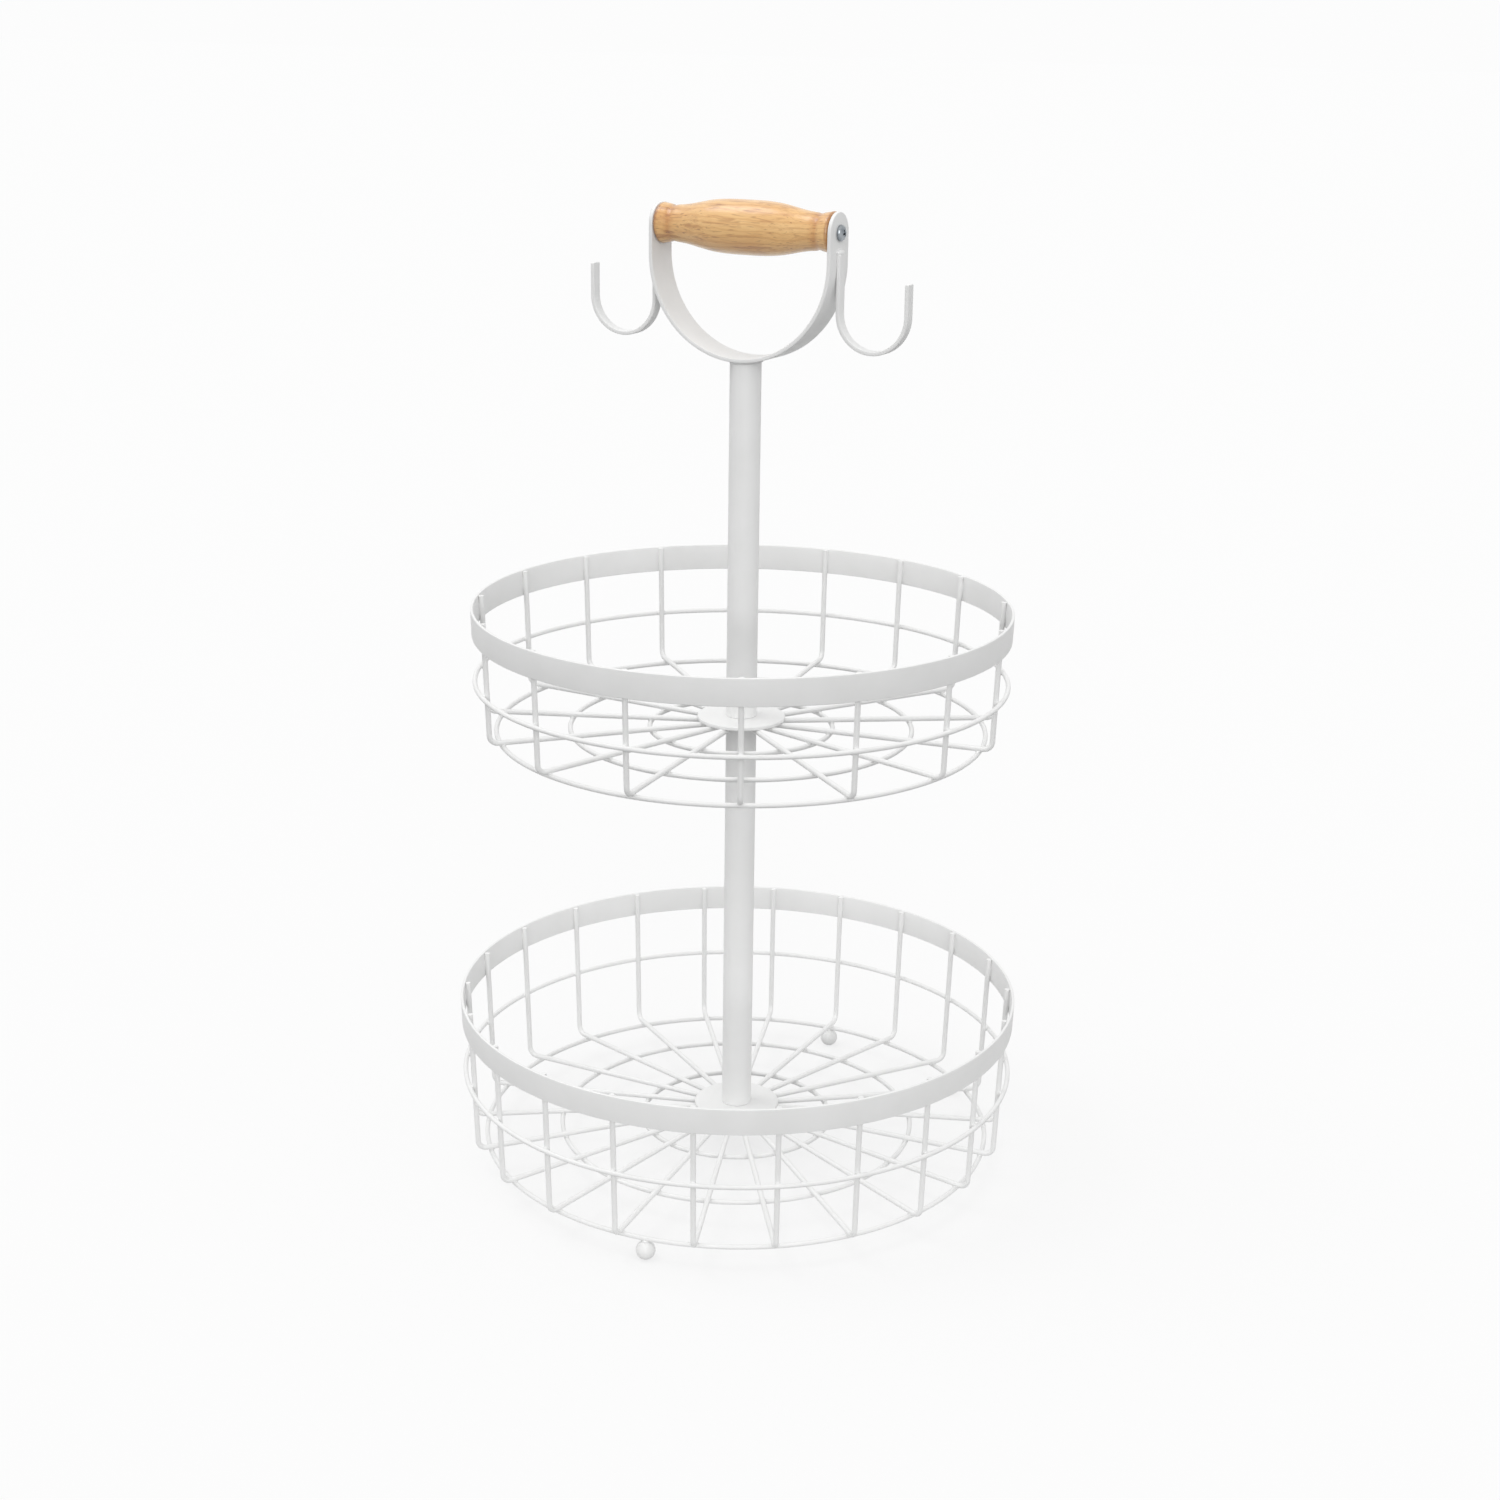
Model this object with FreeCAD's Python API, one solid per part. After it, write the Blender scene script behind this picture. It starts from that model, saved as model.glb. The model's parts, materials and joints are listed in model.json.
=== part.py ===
import FreeCAD, Part
import math
import os

Vector = FreeCAD.Vector

# A two-tier wire basket on one post, with a wooden grip on top and a hook at each side of it.
# The post stands on the Z axis, the table top is at height zero and the grip lies along X.
# Lengths are in millimetres and angles in degrees.

# Rims and walls of the two baskets
lower_rim_diameter = 300.0
upper_rim_diameter = 280.0
lower_wall_height = 79.3
upper_wall_height = 63.3
rim_band_height = 14.0
rim_band_thickness = 1.5
wall_lean = 2.0
lower_wall_ring_share = 0.46
upper_wall_ring_share = 0.39

# Wires: each rib is one bent wire that runs down the wall and along the floor to the hub
rib_wire = 2.8
ring_wire = 2.5
rib_bend_radius = 4.5
rib_tip_drop = 0.5
rib_end_gap = 1.2

# Floors: the rings under the ribs, and how steeply the lower floor rises towards the hub
ring_past_bend = 2.5
floor_ring_shares = {"outer": 1.0, "middle": 0.7, "inner": 0.375}
lower_floor_rise = 3.2

# How the ribs are spread, as angles about the post, counted from +X
front_angle = -62.0
lower_rib_count = 22
upper_front_rib_pitch = 23.5
upper_rear_rib_pitch = 20.0
upper_ribs_each_side = 3

# Hub discs, the two lengths of post and the threaded pieces that hold them together
hub_overlap = 9.0
hub_disc_thickness = 2.0
lower_post_length = 221.0
upper_post_length = 185.0
post_diameter = 16.0
post_wall = 1.2
plug_length = 14.0
thread_diameter = 6.0
stud_end_chamfer = 0.6
bolt_head_across_flats = 10.0
bolt_head_height = 4.0
bolt_flange_diameter = 14.0
bolt_flange_thickness = 1.4

# Ball feet under the outer floor ring, and their places as angles about the post
foot_ball_diameter = 10.0
foot_flat_diameter = 3.0
foot_angles = {"front": -81.0, "right": 54.0, "rear": 94.0, "left": 182.0}

# Handle strap: a flat strip bent to a U, with its two ends standing up as ears
strap_width = 20.0
strap_thickness = 2.0
strap_outer_radius = 50.5
ear_rise = 14.8

# Hooks: a narrow flat strip, welded to the outside of each ear
hook_strip_width = 6.0
hook_strip_thickness = 2.0
hook_inside_radius = 17.2
hook_leg_drop = 10.0
hook_turn_drop = 38.1
hook_tip_rise = 16.1

# Turned wooden grip and the screw in each of its ends
grip_belly_diameter = 26.8
grip_shoulder_diameter = 24.8
grip_neck_diameter = 18.4
grip_end_diameter = 20.2
grip_neck_inset = 9.0
grip_edge_round = 1.2
screw_diameter = 4.0
screw_length = 22.0
screw_point_length = 4.0
screw_head_diameter = 8.0
screw_head_edge_height = 1.0
screw_head_dome_height = 1.6
screw_cross_width = 1.1
screw_cross_span = 4.4
screw_cross_depth = 1.6

# Clearances: welded pieces keep a hair's breadth, so that each stays a solid of its own
weld_gap = 0.03
press_gap = 0.02
thread_gap = 0.05
running_gap = 0.05
bolt_hole_gap = 0.2
grip_end_play = 0.3
screw_head_play = 0.2
cut_overrun = 1.0

# Values that follow from the sizes above
rib_radius = rib_wire / 2
ring_radius = ring_wire / 2
lower_rib_pitch = 360 / lower_rib_count
rib_end_radius = (rib_wire + rib_end_gap) / math.radians(lower_rib_pitch)
hub_disc_radius = rib_end_radius + hub_overlap
post_radius = post_diameter / 2
post_bore_radius = post_radius - post_wall
foot_radius = foot_ball_diameter / 2
foot_centre_height = math.sqrt(foot_radius**2 - (foot_flat_diameter / 2)**2)
strap_inner_radius = strap_outer_radius - strap_thickness
grip_half_length = strap_inner_radius - grip_end_play
screw_seat = strap_outer_radius + screw_head_play
x_axis = Vector(1, 0, 0)
y_axis = Vector(0, 1, 0)
z_axis = Vector(0, 0, 1)


def cosine(degrees):
    return math.cos(math.radians(degrees))


def sine(degrees):
    return math.sin(math.radians(degrees))


def tangent(degrees):
    return math.tan(math.radians(degrees))


def side_view(along, up):
    """A point in the upright plane through the post and +X."""
    return Vector(along, 0, up)


def wire_through(start, *steps):
    """A wire on from a start: each step is the end of a line, the middle and the end of an arc,
    or a list of points for one smooth curve."""
    edges = []
    here = start
    for step in steps:
        if isinstance(step, tuple):
            middle, end = step
            edges.append(Part.Arc(here, middle, end).toShape())
        elif isinstance(step, list):
            end = step[-1]
            curve = Part.BSplineCurve()
            curve.interpolate([here] + step)
            edges.append(curve.toShape())
        else:
            end = step
            edges.append(Part.LineSegment(here, end).toShape())
        here = end
    return Part.Wire(edges)


def revolved(outline, axis):
    """A closed outline turned into a round solid."""
    return Part.Face(outline).revolve(Vector(0, 0, 0), axis, 360)


def flat_strip(outline, width):
    """A bent strip of metal from its side view, with half of its width on each side."""
    strip = Part.Face(outline).extrude(y_axis * width)
    strip.translate(y_axis * (-width / 2))
    return strip


def turned(shape, degrees):
    """A copy of a shape, turned about the post."""
    copy = shape.copy()
    copy.rotate(Vector(0, 0, 0), z_axis, degrees)
    return copy


def raised(shape, height):
    """A copy of a shape, moved up."""
    copy = shape.copy()
    copy.translate(z_axis * height)
    return copy


def spot_weld_distance(lean):
    """From the middle of a rib to the middle of a ring that crosses it, measured level or upright."""
    return (rib_radius + ring_radius + weld_gap) / cosine(lean)


def save(name, *solids):
    shape = solids[0] if len(solids) == 1 else Part.makeCompound(list(solids))
    shape.exportStep(f"parts/{name}.step")


class Basket:
    """The sizes of one basket, and its pieces."""

    def __init__(self, name, rim_diameter, wall_height, wall_ring_share, floor_height, floor_rise,
                 rib_angles):
        """The floor's height is that of the middle of a rib above the outer ring."""
        self.name = name
        self.rim_radius = rim_diameter / 2
        self.rim_height = floor_height + wall_height
        self.wall_ring_height = floor_height + wall_height * wall_ring_share
        self.floor_height = floor_height
        self.floor_rise = floor_rise
        self.rib_angles = rib_angles
        self.outer_ring_inset = rib_bend_radius + ring_past_bend
        self.outer_ring_radius = self.wall_radius(floor_height) - self.outer_ring_inset

    def wall_radius(self, height):
        """Radius of the middle of a rib where it runs up the wall."""
        level_offset = (rib_radius + rim_band_thickness + weld_gap) / cosine(wall_lean)
        return self.rim_radius - level_offset - (self.rim_height - height) * tangent(wall_lean)

    def floor_at(self, radius):
        """Height of the middle of a rib where it runs along the floor."""
        return self.floor_height + (self.outer_ring_radius - radius) * tangent(self.floor_rise)

    def hub_underside(self):
        return self.floor_at(rib_end_radius) + rib_radius / cosine(self.floor_rise) + weld_gap

    def hub_top(self):
        return self.hub_underside() + hub_disc_thickness

    def rim_band(self):
        """A flat strip rolled to a hoop with the same lean as the wall."""
        bottom = self.rim_height - rim_band_height
        bottom_radius = self.rim_radius - rim_band_height * tangent(wall_lean)
        thickness = rim_band_thickness / cosine(wall_lean)
        corners = [
            side_view(self.rim_radius, self.rim_height),
            side_view(bottom_radius, bottom),
            side_view(bottom_radius - thickness, bottom),
            side_view(self.rim_radius - thickness, self.rim_height),
        ]
        return revolved(wire_through(*corners, corners[0]), z_axis)

    def rib(self):
        """One wire: down the wall, round the bend and along the floor to the hub, lying along +X."""
        up_wall = Vector(sine(wall_lean), 0, cosine(wall_lean))
        to_hub = Vector(-cosine(self.floor_rise), 0, sine(self.floor_rise))
        wall_slope = tangent(wall_lean)
        floor_slope = tangent(self.floor_rise)
        corner_drop = self.outer_ring_inset * floor_slope / (1 + wall_slope * floor_slope)
        corner_height = self.floor_height - corner_drop
        corner = side_view(self.wall_radius(corner_height), corner_height)
        half_angle = up_wall.getAngle(to_hub) / 2
        bend_reach = rib_bend_radius / math.tan(half_angle)
        bend_cut = rib_bend_radius / math.sin(half_angle) - rib_bend_radius
        bend_start = corner + up_wall * bend_reach
        bend_middle = corner + (up_wall + to_hub).normalize() * bend_cut
        bend_end = corner + to_hub * bend_reach
        tip_height = self.rim_height - rib_tip_drop
        tip = side_view(self.wall_radius(tip_height), tip_height)
        hub_end = side_view(rib_end_radius, self.floor_at(rib_end_radius))
        path = wire_through(tip, bend_start, (bend_middle, bend_end), hub_end)
        section = Part.Wire(Part.makeCircle(rib_radius, tip, up_wall))
        return path.makePipeShell([section], True, False)

    def wall_ring(self):
        """A wire hoop on the outside of the ribs."""
        radius = self.wall_radius(self.wall_ring_height) + spot_weld_distance(wall_lean)
        return Part.makeTorus(radius, ring_radius, Vector(0, 0, self.wall_ring_height))

    def floor_ring(self, radius):
        """A wire hoop under the ribs."""
        height = self.floor_at(radius) - spot_weld_distance(self.floor_rise)
        return Part.makeTorus(radius, ring_radius, Vector(0, 0, height))

    def hub_disc(self):
        """A round plate on the inner ends of the ribs, with a hole for the thread."""
        base = Vector(0, 0, self.hub_underside())
        disc = Part.makeCylinder(hub_disc_radius, hub_disc_thickness, base)
        hole_base = base - z_axis * cut_overrun
        hole_radius = thread_diameter / 2 + bolt_hole_gap
        hole = Part.makeCylinder(hole_radius, hub_disc_thickness + 2 * cut_overrun, hole_base)
        return disc.cut(hole)

    def save_pieces(self):
        save(f"{self.name}_rim_band", self.rim_band())
        save(f"{self.name}_wall_ring", self.wall_ring())
        save(f"{self.name}_hub_disc", self.hub_disc())
        for place, share in floor_ring_shares.items():
            save(f"{self.name}_floor_ring_{place}", self.floor_ring(self.outer_ring_radius * share))
        rib = self.rib()
        for number, angle in enumerate(self.rib_angles, start=1):
            save(f"{self.name}_rib_{number:02d}", turned(rib, angle))


def lower_rib_angles():
    """Even spacing, with the middle of one gap at the front."""
    return [front_angle + (number + 0.5) * lower_rib_pitch for number in range(lower_rib_count)]


def upper_rib_angles():
    """One rib at the front and one at the back, closer together at the back, and one at each side."""
    steps = range(1, upper_ribs_each_side + 1)
    front_part = [step * upper_front_rib_pitch for step in steps]
    rear_part = [180 - step * upper_rear_rib_pitch for step in reversed(steps)]
    at_side = (front_part[-1] + rear_part[0]) / 2
    one_side = front_part + [at_side] + rear_part
    other_side = [360 - angle for angle in reversed(one_side)]
    return [front_angle + angle for angle in [0] + one_side + [180] + other_side]


def tube(bottom, top):
    """A length of the post."""
    outside = Part.makeCylinder(post_radius, top - bottom, Vector(0, 0, bottom))
    bore_base = Vector(0, 0, bottom - cut_overrun)
    bore = Part.makeCylinder(post_bore_radius, top - bottom + 2 * cut_overrun, bore_base)
    return outside.cut(bore)


def upper_post(bottom, strap_bottom):
    """Its top end is hollowed to fit the round underside of the strap."""
    post = tube(bottom, strap_bottom + post_radius)
    start = Vector(0, -post_diameter, strap_bottom + strap_outer_radius)
    hollow = Part.makeCylinder(strap_outer_radius + weld_gap, 2 * post_diameter, start, y_axis)
    return post.cut(hollow)


def post_plug(bottom):
    """A threaded slug pressed into an end of the post."""
    slug = Part.makeCylinder(post_bore_radius - press_gap, plug_length, Vector(0, 0, bottom))
    hole_base = Vector(0, 0, bottom - cut_overrun)
    hole_radius = thread_diameter / 2 + thread_gap
    return slug.cut(Part.makeCylinder(hole_radius, plug_length + 2 * cut_overrun, hole_base))


def tier_stud(bottom, top):
    """A headless screw that joins the two lengths of post through the upper hub."""
    radius = thread_diameter / 2
    corners = [
        side_view(0, bottom),
        side_view(radius - stud_end_chamfer, bottom),
        side_view(radius, bottom + stud_end_chamfer),
        side_view(radius, top - stud_end_chamfer),
        side_view(radius - stud_end_chamfer, top),
        side_view(0, top),
    ]
    return revolved(wire_through(*corners, corners[0]), z_axis)


def base_bolt(seat, top):
    """A hexagon bolt with a flange, put in from below."""
    flange_bottom = seat - bolt_flange_thickness
    head_bottom = flange_bottom - bolt_head_height
    corner_radius = bolt_head_across_flats / 2 / cosine(30)
    corners = [Vector(corner_radius * cosine(60 * side), corner_radius * sine(60 * side), head_bottom)
               for side in range(6)]
    head = Part.Face(wire_through(*corners, corners[0])).extrude(z_axis * bolt_head_height)
    flange_base = Vector(0, 0, flange_bottom)
    flange = Part.makeCylinder(bolt_flange_diameter / 2, bolt_flange_thickness, flange_base)
    shank = Part.makeCylinder(thread_diameter / 2, top - seat, Vector(0, 0, seat))
    return head.fuse([flange, shank]).removeSplitter()


def ball_foot(place_radius, angle):
    """A ball with a small flat to stand on, under the outer floor ring."""
    ball = Part.makeSphere(foot_radius, side_view(place_radius, foot_centre_height))
    below_table = side_view(place_radius, -foot_ball_diameter)
    table = Part.makeCylinder(foot_ball_diameter, foot_ball_diameter, below_table)
    return turned(ball.cut(table), angle)


# The pieces of the handle are drawn with the axis of the grip at height zero

def handle_strap():
    """The U, its rounded ears and the hole for a screw in each ear."""
    outer = strap_outer_radius
    inner = strap_inner_radius
    strip = flat_strip(wire_through(
        side_view(-outer, 0),
        side_view(-outer, -ear_rise),
        (side_view(0, -ear_rise - outer), side_view(outer, -ear_rise)),
        side_view(outer, 0),
        side_view(inner, 0),
        side_view(inner, -ear_rise),
        (side_view(0, -ear_rise - inner), side_view(-inner, -ear_rise)),
        side_view(-inner, 0),
        side_view(-outer, 0)), strap_width)
    ears = [Part.makeCylinder(strap_width / 2, strap_thickness, side_view(start, 0), x_axis)
            for start in (-outer, inner)]
    hole_radius = screw_diameter / 2 + running_gap
    hole_start = side_view(-outer - cut_overrun, 0)
    holes = Part.makeCylinder(hole_radius, 2 * (outer + cut_overrun), hole_start, x_axis)
    return strip.fuse(ears).removeSplitter().cut(holes)


def hook():
    """The hook on the +X ear: down along the ear, round and up to a square-cut tip."""
    leg_inside = strap_outer_radius + weld_gap
    leg_outside = leg_inside + hook_strip_thickness
    middle = leg_outside + hook_inside_radius
    tip_inside = middle + hook_inside_radius
    tip_outside = tip_inside + hook_strip_thickness
    leg_top = -hook_leg_drop
    turn = -hook_turn_drop
    tip_top = turn + hook_tip_rise
    inside_bottom = turn - hook_inside_radius
    outside_bottom = inside_bottom - hook_strip_thickness
    return flat_strip(wire_through(
        side_view(leg_inside, leg_top),
        side_view(leg_inside, turn),
        (side_view(middle, outside_bottom), side_view(tip_outside, turn)),
        side_view(tip_outside, tip_top),
        side_view(tip_inside, tip_top),
        side_view(tip_inside, turn),
        (side_view(middle, inside_bottom), side_view(leg_outside, turn)),
        side_view(leg_outside, leg_top),
        side_view(leg_inside, leg_top)), hook_strip_width)


def wood_grip():
    """A turned barrel, with a neck and a flare towards each end and a blind hole for each screw."""
    end = grip_half_length
    flare = end - grip_edge_round
    neck = end - grip_neck_inset
    flare_radius = grip_end_diameter / 2
    face_radius = flare_radius - grip_edge_round
    neck_radius = grip_neck_diameter / 2
    shoulder = neck / 2
    shoulder_radius = grip_shoulder_diameter / 2
    belly_radius = grip_belly_diameter / 2
    edge_along = flare + grip_edge_round * cosine(45)
    edge_radius = face_radius + grip_edge_round * sine(45)
    barrel = revolved(wire_through(
        side_view(-end, 0),
        side_view(-end, face_radius),
        (side_view(-edge_along, edge_radius), side_view(-flare, flare_radius)),
        [side_view(-neck, neck_radius), side_view(-shoulder, shoulder_radius), side_view(0, belly_radius),
         side_view(shoulder, shoulder_radius), side_view(neck, neck_radius), side_view(flare, flare_radius)],
        (side_view(edge_along, edge_radius), side_view(end, face_radius)),
        side_view(end, 0),
        side_view(-end, 0)), x_axis)
    hole_radius = screw_diameter / 2 + thread_gap
    hole_inner_end = screw_seat - screw_length - thread_gap
    hole_depth = end + cut_overrun - hole_inner_end
    for side in (1, -1):
        start = side_view(side * hole_inner_end, 0)
        barrel = barrel.cut(Part.makeCylinder(hole_radius, hole_depth, start, x_axis * side))
    return barrel


def grip_screw():
    """The pan-head screw in the +X end of the grip, with a cross recess."""
    shank_radius = screw_diameter / 2
    head_radius = screw_head_diameter / 2
    point = screw_seat - screw_length
    head_edge = screw_seat + screw_head_edge_height
    head_top = head_edge + screw_head_dome_height
    dome_radius = (head_radius**2 + screw_head_dome_height**2) / (2 * screw_head_dome_height)
    half_spread = math.asin(head_radius / dome_radius) / 2
    dome_middle = side_view(head_top - dome_radius * (1 - math.cos(half_spread)),
                            dome_radius * math.sin(half_spread))
    screw = revolved(wire_through(
        side_view(point, 0),
        side_view(point + screw_point_length, shank_radius),
        side_view(screw_seat, shank_radius),
        side_view(screw_seat, head_radius),
        side_view(head_edge, head_radius),
        (dome_middle, side_view(head_top, 0)),
        side_view(point, 0)), x_axis)
    recess_floor = head_top - screw_cross_depth
    recess_depth = screw_cross_depth + cut_overrun
    for wide, tall in ((screw_cross_width, screw_cross_span), (screw_cross_span, screw_cross_width)):
        recess = Part.makeBox(recess_depth, wide, tall, Vector(recess_floor, -wide / 2, -tall / 2))
        screw = screw.cut(recess)
    return screw


def main():
    os.makedirs("parts", exist_ok=True)

    outer_ring_height = foot_centre_height + foot_radius + weld_gap + ring_radius
    lower_floor_height = outer_ring_height + spot_weld_distance(lower_floor_rise)
    lower = Basket("lower", lower_rim_diameter, lower_wall_height, lower_wall_ring_share,
                   lower_floor_height, lower_floor_rise, lower_rib_angles())
    lower_post_bottom = lower.hub_top() + weld_gap
    lower_post_top = lower_post_bottom + lower_post_length
    upper = Basket("upper", upper_rim_diameter, upper_wall_height, upper_wall_ring_share,
                   lower_post_top - rib_radius, 0, upper_rib_angles())
    upper_post_bottom = upper.hub_top() + weld_gap
    strap_bottom = upper_post_bottom + upper_post_length + weld_gap
    grip_height = strap_bottom + strap_outer_radius + ear_rise
    lower.save_pieces()
    upper.save_pieces()

    feet = [ball_foot(lower.outer_ring_radius, angle) for angle in foot_angles.values()]
    save("ball_feet", *feet)

    save("lower_post", tube(lower_post_bottom, lower_post_top))
    save("upper_post", upper_post(upper_post_bottom, strap_bottom))
    head_plug_bottom = lower_post_top - plug_length
    plug_bottoms = (lower_post_bottom, head_plug_bottom, upper_post_bottom)
    save("post_plugs", *[post_plug(bottom) for bottom in plug_bottoms])
    save("tier_stud", tier_stud(head_plug_bottom, upper_post_bottom + plug_length))
    save("base_bolt", base_bolt(lower.hub_underside() - weld_gap, lower_post_bottom + plug_length))

    right_hook = raised(hook(), grip_height)
    right_screw = raised(grip_screw(), grip_height)
    save("handle_strap", raised(handle_strap(), grip_height))
    save("banana_hooks", right_hook, turned(right_hook, 180))
    save("wood_grip", raised(wood_grip(), grip_height))
    save("grip_screws", right_screw, turned(right_screw, 180))


main()
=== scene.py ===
import json
import math

import bmesh
import bpy
from mathutils import Euler, Matrix, Vector, noise


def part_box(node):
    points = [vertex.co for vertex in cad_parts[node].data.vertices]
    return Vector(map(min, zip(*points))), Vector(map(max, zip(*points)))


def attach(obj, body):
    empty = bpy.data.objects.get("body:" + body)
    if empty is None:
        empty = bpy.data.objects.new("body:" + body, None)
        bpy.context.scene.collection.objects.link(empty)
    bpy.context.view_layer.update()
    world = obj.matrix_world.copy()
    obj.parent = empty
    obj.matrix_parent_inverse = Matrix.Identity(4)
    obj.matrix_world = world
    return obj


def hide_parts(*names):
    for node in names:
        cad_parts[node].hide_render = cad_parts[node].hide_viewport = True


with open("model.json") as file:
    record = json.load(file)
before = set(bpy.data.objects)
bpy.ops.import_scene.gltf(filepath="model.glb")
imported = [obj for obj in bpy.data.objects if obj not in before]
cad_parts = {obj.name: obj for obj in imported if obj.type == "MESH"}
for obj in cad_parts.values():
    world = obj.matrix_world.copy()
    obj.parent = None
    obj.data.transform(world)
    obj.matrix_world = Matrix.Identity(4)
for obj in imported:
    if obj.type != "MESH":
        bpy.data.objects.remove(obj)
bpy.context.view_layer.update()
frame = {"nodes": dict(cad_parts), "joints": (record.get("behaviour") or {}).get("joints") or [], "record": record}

# The looks of a two-tier wire basket with a wooden grip and two hooks
# Lengths are in metres and angles in degrees
mm = 0.001
quarter_turn = 90.0
same_height = 0.01 * mm
same_point = 0.001 * mm
x_axis = Vector((1, 0, 0))
y_axis = Vector((0, 1, 0))
z_axis = Vector((0, 0, 1))

# The photograph's camera, in the object's frame
camera_place = Vector((0.5418, -1.0190, 0.5976))
camera_tilt = 72.23
camera_heading = 27.76
camera_roll = 0.80
camera_focal_share = 1.532
sensor_width = 36.0

# Light levels, where 1 is white: an even sky, a soft lamp high on the left and a low one in front
white = (1.0, 1.0, 1.0, 1.0)
sky_level = 0.87
backdrop_level = 0.975
high_lamp_level = 0.20
high_lamp_spread = 30.0
high_lamp_direction = Vector((-0.42, -0.12, 0.88))
low_lamp_level = 0.27
low_lamp_spread = 40.0
low_lamp_direction = Vector((0.52, -0.83, 0.27))

# The floor: how much light it throws back near the post and further out, and how it is seen
floor_size = 60.0
near_floor_radius = 0.12
far_floor_radius = 0.36
near_floor_bounce = 0.56
far_floor_bounce = 0.15
floor_seen_colour = (0.88, 0.88, 0.88, 1.0)
floor_glow_share = 0.72

# Patterns: scales are in features per metre, and a stretch below 1 draws a pattern out along an axis
noise_low = 0.3
noise_high = 0.7
rich_detail = 3.0
plain_detail = 2.0
little_detail = 1.0
untinted = (1.0, 1.0, 1.0)

# White powder coat
coat_dark = (0.838, 0.840, 0.834)
coat_light = (0.872, 0.873, 0.870)
coat_cloud_scale = 45.0
coat_peel_scale = 1100.0
coat_peel_strength = 0.16
coat_peel_depth = 0.25 * mm
coat_grain_scale = 5200.0
coat_grain_strength = 0.05
coat_grain_depth = 0.05 * mm
coat_roughness = (0.36, 0.50)

# Lacquered beech, with its grain along X: each pattern's tint, and the share of the tint that shows
wood_dark = (0.75, 0.395, 0.125)
wood_light = (0.92, 0.585, 0.235)
drift_scale = 75.0
growth_scale = 110.0
growth_stretch = (0.3, 1.0, 1.0)
growth_waviness = 7.5
growth_detail_scale = 1.3
growth_detail_roughness = 0.6
growth_line_end = 0.45
growth_tint = (0.80, 0.68, 0.54)
growth_share = 0.55
fibre_scale = 2600.0
fibre_stretch = (0.03, 1.0, 1.0)
fibre_limits = (0.35, 0.60)
fibre_tint = (0.90, 0.86, 0.80)
fibre_share = 0.8
fibre_strength = 0.12
fibre_depth = 0.12 * mm
streak_scale = 480.0
streak_stretch = (0.12, 1.0, 1.0)
streak_waviness = 0.5
streak_limits = (0.36, 0.46)
streak_tint = (0.60, 0.45, 0.31)
streak_share = 0.62
fleck_scale = 1500.0
fleck_stretch = (0.075, 1.0, 0.9)
fleck_waviness = 0.4
fleck_limits = (0.60, 0.72)
fleck_tint = (0.50, 0.36, 0.25)
fleck_share = 0.8
# Painted shade in the turned groove near each end of the grip
groove_painted_shade = (0.83, 0.70, 0.55)
# The darker end grain together with painted shade where the grip meets the ears
end_grain_and_painted_shade = (0.62, 0.50, 0.38)
wood_roughness = (0.36, 0.50)
lacquer_weight = 1.0
lacquer_roughness = 0.25
lacquer_index = 1.6

# Zinc plate
zinc_dark = (0.22, 0.245, 0.27)
zinc_light = (0.42, 0.445, 0.465)
zinc_cloud_scale = 420.0
tool_mark_scale = 6000.0
tool_mark_stretch = (0.2, 1.0, 1.0)
tool_mark_strength = 0.12
tool_mark_depth = 0.05 * mm
zinc_roughness = (0.14, 0.26)

# Rounded edges of the metal pieces
strip_thickness = 2.0 * mm
band_edge = 0.45 * mm
disc_edge = 0.5 * mm
post_edge = 0.3 * mm
strip_edge = 0.45 * mm
hook_corner = 0.7 * mm

# Spot welds, as half sizes: across the rib, along it, and the way the pieces are pressed together
crossing_weld = (1.5 * mm, 1.5 * mm, 0.75 * mm)
rim_weld = (1.05 * mm, 5.0 * mm, 0.55 * mm)
hub_weld = (1.1 * mm, 3.6 * mm, 0.5 * mm)
foot_weld = (1.9 * mm, 1.9 * mm, 0.8 * mm)
hook_weld = (3.5 * mm, 1.9 * mm, 1.9 * mm)
hook_weld_rise = 0.4 * mm
hook_weld_stand_off = 0.4 * mm
weld_unevenness = 0.16
weld_ripple = 1.7

# The bead of weld between the post and the strap
bead_radius = 0.75 * mm
bead_unevenness = 0.3
bead_ripple = 2.6
bead_out_share = 0.2
bead_drop_share = 0.35

# Grip: the flare at each end, the groove that sets it off, and how far the painted shade in the groove and at the
# ends reaches
grip_bead_width = 7.5 * mm
grip_groove_width = 1.3 * mm
grip_groove_depth = 0.6 * mm
# How far the darker end grain and painted shade reach in from each end of the grip
end_grain_and_shade_width = 0.9 * mm
groove_shade_reach_inward = 3.9 * mm
groove_shade_reach_outward = 2.6 * mm
# How far that end grain and painted shade fade out
end_grain_and_shade_fade = 1.3 * mm

# Screws of the grip, whose heads are fuller than an ellipse, which has a fullness of 2
screw_hole_radius = 2.05 * mm
screw_radius = 2.0 * mm
screw_point_length = 4.0 * mm
screw_head_play = 0.2 * mm
screw_head_fullness = 2.5
recess_reach = 2.3 * mm
recess_half_width = 0.65 * mm
recess_depth = 1.5 * mm
recess_taper_share = 0.55
recess_turn = 20.0

# How finely the meshes are divided
sharp_angle = 50.0
edge_steps = 4
corner_steps = 12
lathe_steps = 240
strap_steps = 160
hook_steps = 120
bead_steps = 120
bead_sides = 12
weld_segments = 14
weld_rows = 10
screw_head_steps = 20

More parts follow.
